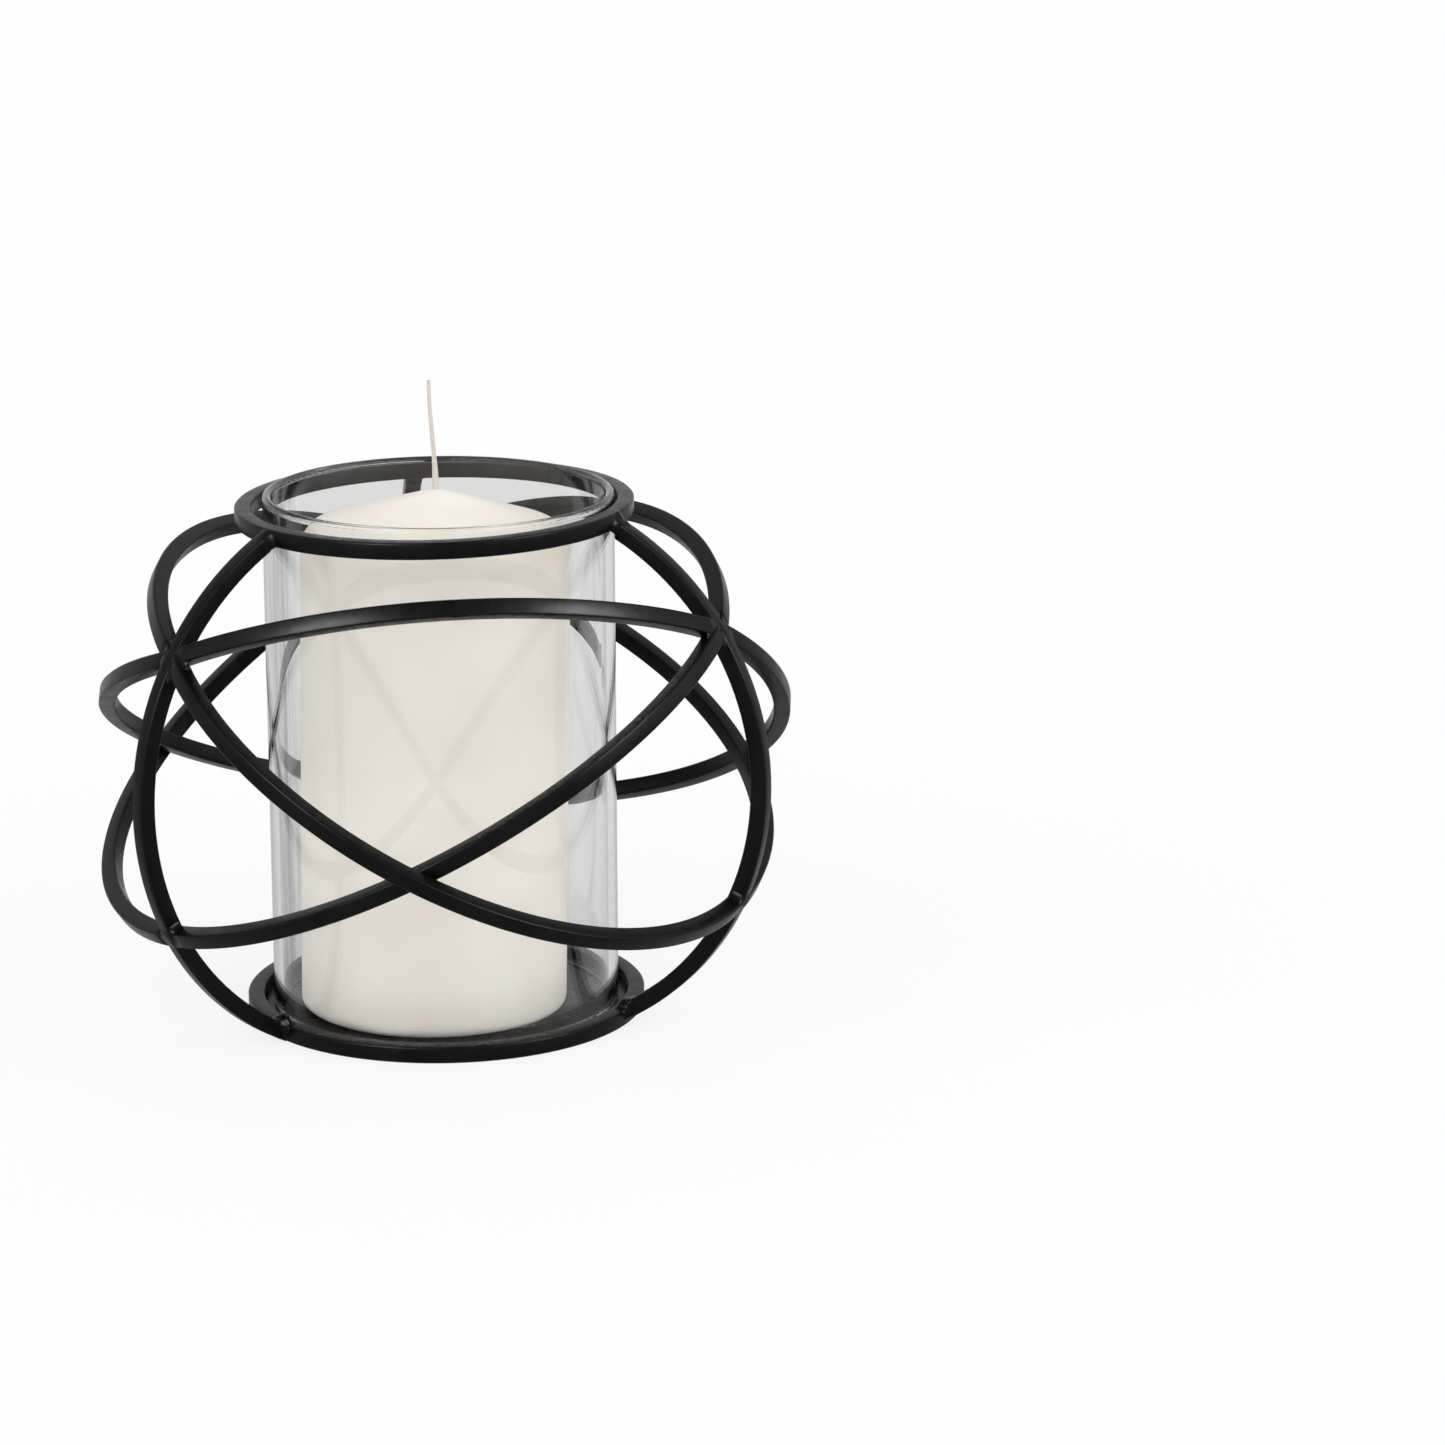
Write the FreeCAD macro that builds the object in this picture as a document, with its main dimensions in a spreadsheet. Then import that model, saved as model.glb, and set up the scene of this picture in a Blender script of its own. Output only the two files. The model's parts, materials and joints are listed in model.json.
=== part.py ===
# Hurricane candle lantern: a welded cage of square bar round a loose glass cylinder and a pillar candle.
# Millimetres, +Z up. The origin is the centre of the base's underside, on which the lantern stands.
# Azimuth 0 is the front (-Y), and azimuths grow towards +X.
import FreeCAD, Part
import math
import os
import Sketcher
from FreeCAD import Placement, Rotation, Vector

doc = FreeCAD.newDocument("lantern")

# Driving dimensions
DIMENSIONS = {
    "bar_side": (6.2, "square bar, coat included"),
    "edge_bevel": (0.55, "bevel along the bar's long edges"),
    "cage_lean": (0.9, "degrees the hand-welded cage leans to the left on its base"),
    "top_ring_radius": (70.6, "centre line of the top ring"),
    "top_ring_height": (191.3, "centre line of the top ring"),
    "top_ring_shift": (1.5, "the top ring sits this far right of the leaning ribs' own axis"),
    "base_ring_radius": (71.7, "centre line of the base ring"),
    "plate_thickness": (2.0, "base plate"),
    "rib_bend": (104.8, "centre line radius of a rib's arc"),
    "rib_offset": (24.5, "rib arc's centre, out from the lantern's axis"),
    "rib_height": (96.5, "rib arc's centre above the base"),
    "upper_joint_height": (152.5, "where two bows meet a rib above its belly"),
    "lower_joint_height": (50.3, "where two bows meet a rib below its belly"),
    "upper_bow_radius": (95.6, "crown of an upper bow, from the axis"),
    "upper_bow_height": (175.0, "crown of an upper bow"),
    "over_front_radius": (130.5, "middle of the front over bow, from the axis"),
    "over_left_radius": (129.8, "middle of the left over bow, from the axis"),
    "over_right_radius": (129.1, "middle of the right over bow, from the axis"),
    "over_front_height": (75.8, "middle of the front over bow"),
    "over_left_height": (71.1, "middle of the left over bow"),
    "over_right_height": (67.3, "middle of the right over bow"),
    "under_bow_radius": (124.9, "middle of an under bow, from the axis"),
    "under_bow_height": (95.7, "middle of an under bow"),
    "glass_radius": (65.0, "outside of the glass"),
    "glass_wall": (3.5, "thickness of the glass"),
    "rim_round": (1.7, "fire-polished rounding of the glass's edges"),
    "glass_top": (197.5, "rim of the glass above the base"),
    "candle_radius": (50.0, "pillar candle"),
    "candle_shift": (4.8, "the candle's foot stands this far left of the axis"),
    "candle_lean": (1.1, "degrees the candle leans to the right"),
    "foot_trim": (1.0, "wax trimmed off the leaning candle's foot, so that it stands flat"),
    "cone_foot": (183.5, "where the cone would meet the candle's side"),
    "cone_top": (198.5, "tip of the wax cone"),
    "shoulder_round": (9.0, "rounding between side and cone"),
    "candle_foot_round": (4.0, "rounding of the candle's bottom edge, before it is trimmed"),
    "wick_radius": (0.9, "waxed wick"),
    "wick_length": (40.5, "free wick above the wax"),
    "wick_sway": (2.6, "sideways run of the free wick"),
    "weld_radius": (2.9, "weld bead"),
    "weld_stand": (0.5, "how far a bead's centre stands off the bars' faces"),
}
sheet = doc.addObject("Spreadsheet::Sheet", "Dims")
next_row = 1


def add_cell(alias, value, note):
    """Write one named number to the sheet."""
    global next_row
    sheet.set("A%d" % next_row, alias)
    sheet.set("B%d" % next_row, repr(round(value, 6)))
    sheet.set("C%d" % next_row, note)
    sheet.setAlias("B%d" % next_row, alias)
    next_row += 1


for alias, (value, note) in DIMENSIONS.items():
    add_cell(alias, value, note)
doc.recompute()


def dim(alias):
    """Read a named number back from the sheet."""
    return float(sheet.get(alias))


# Frame of the cage: everything welded above the base leans a little
SIDEWAYS = Vector(0, 1, 0)
LEAN = Placement(Vector(), Rotation(SIDEWAYS, -dim("cage_lean")))
HEAD = Placement(Vector(dim("top_ring_shift"), 0, 0), Rotation()).multiply(LEAN)
UP = Vector(0, 0, 1)
RIBS = {"left": -60.0, "right": 60.0, "back": 180.0}
SECTORS = {"front": 0.0, "right": 120.0, "left": 240.0}
HALF_SECTOR = 60.0


def polar(radius, azimuth, height):
    """Point at a distance from the axis, an azimuth and a height."""
    angle = math.radians(azimuth)
    return Vector(radius * math.sin(angle), -radius * math.cos(angle), height)


def rib_point(azimuth, height):
    """Point on the centre line of the rib at this azimuth."""
    reach = math.sqrt(dim("rib_bend") ** 2 - (height - dim("rib_height")) ** 2)
    return polar(dim("rib_offset") + reach, azimuth, height)


def origin_plane(body, role):
    """One of a body's own origin planes."""
    return next(f for f in body.Origin.OriginFeatures if f.Role == role)


def new_sketch(body, role, name):
    """Empty sketch on one of the body's origin planes."""
    sketch = body.newObject("Sketcher::SketchObject", name)
    sketch.AttachmentSupport = [(origin_plane(body, role), "")]
    sketch.MapMode = "FlatFace"
    return sketch


def bind(sketch, constraint, expression):
    """Add a driving constraint and tie it to the sheet."""
    index = sketch.addConstraint(constraint)
    sketch.setExpression("Constraints[%d]" % index, expression)


def join(sketch, first, first_end, second, second_end):
    """Make two sketch points coincide."""
    sketch.addConstraint(Sketcher.Constraint("Coincident", first, first_end, second, second_end))


def dress_edges(kind, size_property, body, feature, name, expression, chosen):
    """Round or bevel the edges of a feature that the test picks."""
    doc.recompute()
    names = ["Edge%d" % (i + 1) for i, edge in enumerate(feature.Shape.Edges) if chosen(edge)]
    dressed = body.newObject(kind, name)
    dressed.Base = (feature, names)
    dressed.setExpression(size_property, expression)
    return dressed


def round_edges(body, feature, name, expression, chosen):
    return dress_edges("PartDesign::Fillet", "Radius", body, feature, name, expression, chosen)


def bevel_bar(body, feature, name):
    """Bevel the long edges of a bar, which are the arcs of its outline."""
    return dress_edges("PartDesign::Chamfer", "Size", body, feature, name, "Dims.edge_bevel", is_circle_edge)


def is_circle_edge(edge):
    return isinstance(edge.Curve, Part.Circle)


# Every bent bar runs on an arc through three points: start, middle and end
ARCS = {}
rib_heights = (dim("bar_side") / 2, dim("rib_height"), dim("top_ring_height"))
for side, azimuth in RIBS.items():
    ARCS["rib_" + side] = [rib_point(azimuth, height) for height in rib_heights]
for side, azimuth in SECTORS.items():
    rib_azimuths = (azimuth - HALF_SECTOR, azimuth + HALF_SECTOR)
    upper_first, upper_second = (rib_point(a, dim("upper_joint_height")) for a in rib_azimuths)
    lower_first, lower_second = (rib_point(a, dim("lower_joint_height")) for a in rib_azimuths)
    crown = polar(dim("upper_bow_radius"), azimuth, dim("upper_bow_height"))
    over_middle = polar(dim("over_%s_radius" % side), azimuth, dim("over_%s_height" % side))
    under_middle = polar(dim("under_bow_radius"), azimuth, dim("under_bow_height"))
    ARCS["upper_bow_" + side] = [upper_first, crown, upper_second]
    ARCS["over_bow_" + side] = [upper_first, over_middle, lower_second]
    ARCS["under_bow_" + side] = [upper_second, under_middle, lower_first]
CENTRE_LINES = {name: Part.Arc(*points).toShape() for name, points in ARCS.items()}
for name, line in CENTRE_LINES.items():
    half_sweep = (line.LastParameter - line.FirstParameter) / 2 + dim("bar_side") / line.Curve.Radius
    add_cell(name + "_bend", line.Curve.Radius, "worked out from the bar's three points")
    add_cell(name + "_half_sweep", math.degrees(half_sweep), "the same, run on by one bar at each end")
doc.recompute()


# Bent square bar: a flat ring sector, symmetric about the sketch's upright axis, padded to thickness
def bent_bar(name):
    line = CENTRE_LINES[name]
    circle = line.Curve
    half = math.radians(dim(name + "_half_sweep"))
    first_angle = math.pi / 2 - half
    last_angle = math.pi / 2 + half
    crown = line.valueAt((line.FirstParameter + line.LastParameter) / 2)
    upright = (crown - circle.Center).normalize()
    turn = Rotation(upright.cross(circle.Axis), upright, circle.Axis, "ZYX")

    body = doc.addObject("PartDesign::Body", name + "_bar")
    sketch = new_sketch(body, "XY_Plane", name + "_outline")
    side = dim("bar_side")
    rims = [circle.Radius + side / 2, circle.Radius - side / 2]
    for rim in rims:
        sketch.addGeometry(Part.ArcOfCircle(Part.Circle(Vector(), UP, rim), first_angle, last_angle))
    for angle in (first_angle, last_angle):
        ray = Vector(math.cos(angle), math.sin(angle), 0)
        sketch.addGeometry(Part.LineSegment(ray * rims[1], ray * rims[0]))
    for rim in (0, 1):
        join(sketch, rim, 3, -1, 1)
    for end_line, arc_end in ((2, 1), (3, 2)):
        join(sketch, end_line, 1, 1, arc_end)
        join(sketch, end_line, 2, 0, arc_end)
        sketch.addConstraint(Sketcher.Constraint("PointOnObject", -1, 1, end_line))
    sketch.addConstraint(Sketcher.Constraint("Symmetric", 0, 1, 0, 2, -2))
    bind(sketch, Sketcher.Constraint("Radius", 0, rims[0]), "Dims.%s_bend + Dims.bar_side / 2" % name)
    bind(sketch, Sketcher.Constraint("Radius", 1, rims[1]), "Dims.%s_bend - Dims.bar_side / 2" % name)
    bind(sketch, Sketcher.Constraint("Angle", 2, first_angle), "90 - Dims.%s_half_sweep" % name)

    pad = body.newObject("PartDesign::Pad", name + "_pad")
    pad.Profile = sketch
    pad.SideType = "Symmetric"
    pad.setExpression("Length", "Dims.bar_side")
    bevel_bar(body, pad, name + "_bevel")
    body.Placement = LEAN.multiply(Placement(circle.Center, turn))
    return body


def boolean(kind, name, base, tool):
    """Part::Cut or Part::Common of two objects."""
    result = doc.addObject(kind, name)
    result.Base = base
    result.Tool = tool
    return result


PIECES = {}


def piece(label, shape_object):
    """Keep a finished sub-part under its own label."""
    shape_object.Label = label
    PIECES[label] = shape_object
    return shape_object


# Rings: a square section turned round the axis
def square_ring(label, radius_cell, height_expression, placement):
    body = doc.addObject("PartDesign::Body", label + "_body")
    sketch = new_sketch(body, "XZ_Plane", label + "_section")
    half = dim("bar_side") / 2
    signs = ((-1, -1), (1, -1), (1, 1), (-1, 1))
    corners = [Vector(dim(radius_cell) + x * half, y * half, 0) for x, y in signs]
    inner_radius = "Dims.%s - Dims.bar_side / 2" % radius_cell
    for i in range(4):
        sketch.addGeometry(Part.LineSegment(corners[i], corners[(i + 1) % 4]))
    for i in range(4):
        join(sketch, i, 2, (i + 1) % 4, 1)
        sketch.addConstraint(Sketcher.Constraint("Vertical" if i % 2 else "Horizontal", i))
    bind(sketch, Sketcher.Constraint("DistanceX", 0, 1, 0, 2, 2 * half), "Dims.bar_side")
    bind(sketch, Sketcher.Constraint("DistanceY", 1, 1, 1, 2, 2 * half), "Dims.bar_side")
    bind(sketch, Sketcher.Constraint("DistanceX", -1, 1, 0, 1, corners[0].x), inner_radius)
    bind(sketch, Sketcher.Constraint("DistanceY", -1, 1, 2, 1, half), height_expression)
    ring = body.newObject("PartDesign::Revolution", label + "_turn")
    ring.Profile = sketch
    ring.ReferenceAxis = (sketch, ["V_Axis"])
    ring.Angle = 360.0
    bevel_bar(body, ring, label + "_bevel")
    body.Placement = placement
    return piece(label, body)


top_ring = square_ring("top_ring", "top_ring_radius", "Dims.top_ring_height + Dims.bar_side / 2", HEAD)
base_ring = square_ring("base_ring", "base_ring_radius", "Dims.bar_side", Placement())

# Base plate, flush with the underside of the base ring
plate = doc.addObject("Part::Cylinder", "plate")
plate.setExpression("Radius", "Dims.base_ring_radius - Dims.bar_side / 2")
plate.setExpression("Height", "Dims.plate_thickness")
piece("base_plate", plate)


# Ribs: bent bars whose ends are fitted to the outside of the two rings
def ring_core(name, radius_cell, floor, placement):
    """Cylinder that fills a ring out to its rim, to fit the rib ends to it."""
    core = doc.addObject("Part::Cylinder", name)
    core.setExpression("Radius", "Dims.%s + Dims.bar_side / 2" % radius_cell)
    core.setExpression("Height", "Dims.top_ring_height")
    core.Placement = placement.multiply(Placement(floor, Rotation()))
    return core


belly = Vector(0, 0, dim("rib_height"))
core_height = Vector(0, 0, dim("top_ring_height"))
top_core = ring_core("top_core", "top_ring_radius", belly, HEAD)
base_core = ring_core("base_core", "base_ring_radius", belly - core_height, Placement())
for side in RIBS:
    fitted = boolean("Part::Cut", "rib_%s_head" % side, bent_bar("rib_" + side), top_core)
    piece("rib_" + side, boolean("Part::Cut", "rib_%s_foot" % side, fitted, base_core))


# Space between two neighbouring ribs, side face to side face
def sector_block(side, azimuth):
    block = doc.addObject("Part::Cylinder", "sector_" + side)
    block.setExpression("Radius", "2 * Dims.over_front_radius")
    block.setExpression("Height", "Dims.top_ring_height")
    block.Angle = 2 * HALF_SECTOR
    apex = polar(dim("bar_side") / 2 / math.sin(math.radians(HALF_SECTOR)), azimuth, 0)
    first_side = Rotation(UP, azimuth - HALF_SECTOR - 90)
    block.Placement = LEAN.multiply(Placement(apex, first_side))
    return block


# Bows: bent bars between rib joints, the over and under bows coped round the upper bow
def trimmed_bow(kind, side, block):
    """Bent bar cut off at the side faces of the two ribs it runs between."""
    name = "%s_bow_%s" % (kind, side)
    return boolean("Part::Common", name + "_trimmed", bent_bar(name), block)


for side, azimuth in SECTORS.items():
    block = sector_block(side, azimuth)
    upper = trimmed_bow("upper", side, block)
    over = trimmed_bow("over", side, block)
    under = trimmed_bow("under", side, block)
    piece("upper_bow_" + side, upper)
    piece("over_bow_" + side, boolean("Part::Cut", "over_bow_%s_coped" % side, over, upper))
    piece("under_bow_" + side, boolean("Part::Cut", "under_bow_%s_coped" % side, under, upper))


# Weld beads: round drops that fill the corners between the bars
def weld_bead(name, centre, placement, neighbours, turn=Rotation()):
    """One bead, cut back to the faces of the bars it joins."""
    bead = doc.addObject("Part::Sphere", name)
    bead.setExpression("Radius", "Dims.weld_radius")
    bead.Placement = placement.multiply(Placement(centre, turn))
    for neighbour in neighbours:
        bead = boolean("Part::Cut", "%s_by_%s" % (name, neighbour), bead, PIECES[neighbour])
    return bead


def weld_group(label, beads):
    """All beads of one kind of joint as one node."""
    group = doc.addObject("Part::Compound", label + "_group")
    group.Links = beads
    return piece(label, group)


def rib_face(rim, ring_radius):
    """Height of a rib's outer (rim 1) or inner (rim -1) face over its belly, where it meets a ring."""
    reach = ring_radius + dim("bar_side") / 2 - dim("rib_offset")
    return math.sqrt((dim("rib_bend") + rim * dim("bar_side") / 2) ** 2 - reach ** 2)


def rib_welds(label, ring, ring_radius, points, placement):
    """Beads at one end of every rib, at the given radii and heights."""
    beads = []
    for side, azimuth in RIBS.items():
        for number, (radius, height) in enumerate(points):
            centre = polar(ring_radius + dim("bar_side") / 2 + radius, azimuth, height)
            name = "%s_%s_%d" % (label, side, number)
            beads.append(weld_bead(name, centre, placement, (ring, "rib_" + side)))
    return weld_group(label, beads)


stand = dim("weld_stand")
rib_top = dim("rib_height") + rib_face(1, dim("top_ring_radius"))
ring_bottom = dim("top_ring_height") - dim("bar_side") / 2
rib_welds("top_welds", "top_ring", dim("top_ring_radius"),
          ((stand, rib_top), (-stand, ring_bottom - stand)), HEAD)
on_ring_edge = (-stand, dim("bar_side") + stand)
rib_welds("base_welds", "base_ring", dim("base_ring_radius"), (on_ring_edge,), Placement())


def joint_welds(label, height, kinds_by_side):
    """Beads on both sides of every rib at one height, in the crotch of the bows that meet there."""
    beads = []
    for side, azimuth in RIBS.items():
        joint = rib_point(azimuth, height)
        across = polar(1, azimuth + 90, 0)
        outward = polar(1, azimuth, 0)
        poles_in_bars = Rotation(-outward, Vector(), across, "ZXY")
        for hand in (-1, 1):
            middle = azimuth + hand * HALF_SECTOR
            sector = next(name for name, a in SECTORS.items() if (a - middle) % 360 == 0)
            centre = joint + across * hand * (dim("bar_side") / 2 + stand) + outward * (dim("bar_side") / 2)
            bows = ["%s_bow_%s" % (kind, sector) for kind in kinds_by_side[hand]]
            name = "%s_%s_%s" % (label, side, sector)
            beads.append(weld_bead(name, centre, LEAN, ["rib_" + side] + bows, poles_in_bars))
    return weld_group(label, beads)


joint_welds("upper_joint_welds", dim("upper_joint_height"), {1: ("upper", "over"), -1: ("upper", "under")})
joint_welds("lower_joint_welds", dim("lower_joint_height"), {1: ("under",), -1: ("over",)})


# Turned pieces: a closed outline of straight lines, turned round the piece's own axis
def turned_body(label, corners, placement):
    """Body from (radius, height) corners given as sheet expressions."""
    body = doc.addObject("PartDesign::Body", label + "_body")
    sketch = new_sketch(body, "XZ_Plane", label + "_outline")
    values = [Vector(*(float(sheet.evalExpression(e)) for e in corner), 0) for corner in corners]
    count = len(corners)
    for i in range(count):
        sketch.addGeometry(Part.LineSegment(values[i], values[(i + 1) % count]))
    for i in range(count):
        join(sketch, i, 2, (i + 1) % count, 1)
    for i, (radius, height) in enumerate(corners):
        bind(sketch, Sketcher.Constraint("DistanceX", -1, 1, i, 1, values[i].x), radius)
        bind(sketch, Sketcher.Constraint("DistanceY", -1, 1, i, 1, values[i].y), height)
    turn = body.newObject("PartDesign::Revolution", label + "_turn")
    turn.Profile = sketch
    turn.ReferenceAxis = (sketch, ["V_Axis"])
    turn.Angle = 360.0
    body.Placement = placement
    doc.recompute()
    return body, turn


def circle_at(radius, height):
    """Test for the round edge at this radius and height of a turned piece."""
    def chosen(edge):
        if not is_circle_edge(edge):
            return False
        return abs(edge.Curve.Radius - radius) < 1e-3 and abs(edge.Curve.Center.z - height) < 1e-3
    return chosen


# Glass cylinder: an open tube with a fire-polished rim
body, tube = turned_body("glass_cylinder", [
    ("Dims.glass_radius - Dims.glass_wall", "Dims.plate_thickness"),
    ("Dims.glass_radius", "Dims.plate_thickness"),
    ("Dims.glass_radius", "Dims.glass_top"),
    ("Dims.glass_radius - Dims.glass_wall", "Dims.glass_top")], Placement())
round_edges(body, tube, "glass_rims", "Dims.rim_round", is_circle_edge)
piece("glass_cylinder", body)

# Candle: a leaning pillar with a bore for the wick, a cone on top and rounded shoulder and foot
pivot = Vector(0, 0, dim("plate_thickness"))
CANDLE = Placement(Vector(-dim("candle_shift"), 0, 0), Rotation(SIDEWAYS, dim("candle_lean")), pivot)
foot_level = dim("plate_thickness") - dim("foot_trim")
body, pillar = turned_body("candle_wax", [
    ("Dims.wick_radius", "Dims.plate_thickness - Dims.foot_trim"),
    ("Dims.candle_radius", "Dims.plate_thickness - Dims.foot_trim"),
    ("Dims.candle_radius", "Dims.cone_foot"),
    ("Dims.wick_radius", "Dims.cone_top")], CANDLE)
shoulder = round_edges(body, pillar, "candle_shoulder", "Dims.shoulder_round",
                       circle_at(dim("candle_radius"), dim("cone_foot")))
round_edges(body, shoulder, "candle_foot", "Dims.candle_foot_round",
            circle_at(dim("candle_radius"), foot_level))
piece("candle_wax", boolean("Part::Cut", "candle_trimmed", body, plate))

# Wick: straight through the wax, then a gentle S of two equal arcs
body = doc.addObject("PartDesign::Body", "wick_body")
path = new_sketch(body, "XZ_Plane", "wick_path")
half_rise, half_sway = dim("wick_length") / 2, dim("wick_sway") / 2
bend = (half_rise ** 2 + half_sway ** 2) / (2 * half_sway)
swing = math.asin(half_rise / bend)
top = dim("cone_top")
path.addGeometry(Part.LineSegment(Vector(0, foot_level, 0), Vector(0, top, 0)))
path.addGeometry(Part.ArcOfCircle(Part.Circle(Vector(-bend, top, 0), UP, bend), 0, swing))
second_centre = Vector(bend - 2 * half_sway, top + 2 * half_rise, 0)
path.addGeometry(Part.ArcOfCircle(Part.Circle(second_centre, UP, bend), math.pi, math.pi + swing))
section = new_sketch(body, "XY_Plane", "wick_section")
section.addGeometry(Part.Circle(Vector(), UP, dim("wick_radius")))
join(section, 0, 3, -1, 1)
bind(section, Sketcher.Constraint("Radius", 0, dim("wick_radius")), "Dims.wick_radius")
section.AttachmentOffset = Placement(Vector(0, 0, foot_level), Rotation())
pipe = body.newObject("PartDesign::AdditivePipe", "wick_pipe")
pipe.Profile = section
pipe.Spine = path
body.Placement = CANDLE
piece("candle_wick", boolean("Part::Cut", "wick_trimmed", body, plate))

doc.recompute()
for obj in doc.Objects:
    bad = [word for word in obj.State if word in ("Invalid", "Error")]
    if bad:
        raise RuntimeError("%s: %s" % (obj.Name, bad))
os.makedirs("parts", exist_ok=True)
for label, obj in PIECES.items():
    shape = obj.Shape
    if shape.isNull() or not shape.isValid():
        raise RuntimeError(label + " has no valid shape")
    print("%-20s solids %d volume %9.1f" % (label, len(shape.Solids), shape.Volume))
    shape.exportStep("parts/%s.step" % label)
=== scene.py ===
import json
import math

import bmesh
import bpy
from mathutils import Matrix, Vector, noise as field

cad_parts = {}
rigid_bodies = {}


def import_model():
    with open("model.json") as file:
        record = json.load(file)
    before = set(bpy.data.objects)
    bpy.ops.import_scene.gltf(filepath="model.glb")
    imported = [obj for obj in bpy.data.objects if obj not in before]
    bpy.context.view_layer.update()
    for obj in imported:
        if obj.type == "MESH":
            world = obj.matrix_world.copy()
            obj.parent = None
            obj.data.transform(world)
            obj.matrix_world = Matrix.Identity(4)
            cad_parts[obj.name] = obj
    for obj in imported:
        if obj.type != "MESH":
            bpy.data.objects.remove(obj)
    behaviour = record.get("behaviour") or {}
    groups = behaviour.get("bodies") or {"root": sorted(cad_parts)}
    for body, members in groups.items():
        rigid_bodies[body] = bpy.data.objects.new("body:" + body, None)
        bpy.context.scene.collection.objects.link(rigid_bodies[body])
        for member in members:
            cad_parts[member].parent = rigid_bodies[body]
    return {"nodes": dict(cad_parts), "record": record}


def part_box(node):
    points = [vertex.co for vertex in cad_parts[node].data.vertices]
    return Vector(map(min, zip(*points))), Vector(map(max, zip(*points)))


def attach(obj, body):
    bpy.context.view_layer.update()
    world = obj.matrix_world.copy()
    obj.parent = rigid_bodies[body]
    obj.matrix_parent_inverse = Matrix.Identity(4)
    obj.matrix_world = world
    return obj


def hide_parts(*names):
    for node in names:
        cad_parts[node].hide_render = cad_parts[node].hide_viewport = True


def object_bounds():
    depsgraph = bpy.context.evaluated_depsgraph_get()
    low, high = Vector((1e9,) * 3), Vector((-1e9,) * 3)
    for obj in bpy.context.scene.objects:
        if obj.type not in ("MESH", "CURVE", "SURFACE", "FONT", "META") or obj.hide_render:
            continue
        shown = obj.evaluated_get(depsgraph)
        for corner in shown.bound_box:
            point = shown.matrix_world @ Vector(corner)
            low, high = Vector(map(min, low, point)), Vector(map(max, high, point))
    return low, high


for leftover in list(bpy.data.objects):
    bpy.data.objects.remove(leftover)
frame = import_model()
CAD_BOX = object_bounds()

bl_info = {
    "name": "Hurricane candle lantern",
    "version": (1, 0, 0),
    "blender": (4, 5, 0),
    "location": "3D View > Sidebar > Lantern",
    "description": "Finishes, weld fillets, wick and studio stage for a welded candle lantern",
    "category": "Object",
}

MM = 0.001
# Points nearer than this count as one
MERGE = 0.001 * MM
# Each weld node, with how lumpy its joints are
WELD_NODES = {"top_welds": 0.8, "base_welds": 1.0, "upper_joint_welds": 0.5, "lower_joint_welds": 0.8}
# Joints whose beads stand out as drops
BEADED_NODES = ("base_welds",)
BAR_NODES = [n for n in frame["record"]["behaviour"]["bodies"]["cage"] if n not in WELD_NODES]
# Headings of the ribs in degrees, from the front round to the right
RIB_AZIMUTHS = (-60, 60, 180)
WICK_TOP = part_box("candle_wick")[1].z
WAX_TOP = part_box("candle_wax")[1].z
WAX_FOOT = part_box("candle_wax")[0].z
GLASS_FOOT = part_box("glass_cylinder")[0].z
GLASS_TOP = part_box("glass_cylinder")[1].z


class LanternFinish(bpy.types.PropertyGroup):
    """Colours and surface qualities of the lantern's finishes."""

    coat_colour: bpy.props.FloatVectorProperty(
        name="Coat", description="Black powder coat", subtype="COLOR", default=(0.0032, 0.0032, 0.0034))
    coat_roughness: bpy.props.FloatProperty(
        name="Coat roughness", description="Satin of the powder coat", subtype="FACTOR", default=0.28)
    coat_gloss: bpy.props.FloatProperty(
        name="Coat gloss", description="Strength of the coat's reflection", subtype="FACTOR", default=0.07)
    coat_grain: bpy.props.FloatProperty(
        name="Coat grain", description="Size of the coat's fine texture", unit="LENGTH", default=0.6 * MM)
    # Lighter colour along the coat's edges: a painted highlight
    edge_highlight_colour: bpy.props.FloatVectorProperty(
        name="Edge", description="Coat rubbed thin along the edges", subtype="COLOR",
        default=(0.022, 0.021, 0.02))
    glass_colour: bpy.props.FloatVectorProperty(
        name="Glass", description="Clear glass", subtype="COLOR", default=(0.995, 1.0, 0.995))
    glass_foot: bpy.props.FloatVectorProperty(
        name="Glass foot", description="Ground edge of the glass", subtype="COLOR",
        default=(0.98, 1.0, 0.78))
    glass_depth: bpy.props.FloatVectorProperty(
        name="Glass depth", description="Tint of light on long ways through the glass", subtype="COLOR",
        default=(0.50, 0.53, 0.49))
    glass_density: bpy.props.FloatProperty(
        name="Glass density", description="How fast that tint builds up, per metre", default=12)
    wax_colour: bpy.props.FloatVectorProperty(
        name="Wax", description="Ivory wax", subtype="COLOR", default=(0.82, 0.755, 0.675))
    wax_pale: bpy.props.FloatVectorProperty(
        name="Pale wax", description="Paler clouds in the wax", subtype="COLOR", default=(0.86, 0.815, 0.75))
    wick_colour: bpy.props.FloatVectorProperty(
        name="Wick", description="Waxed cotton", subtype="COLOR", default=(0.60, 0.555, 0.49))


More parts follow.
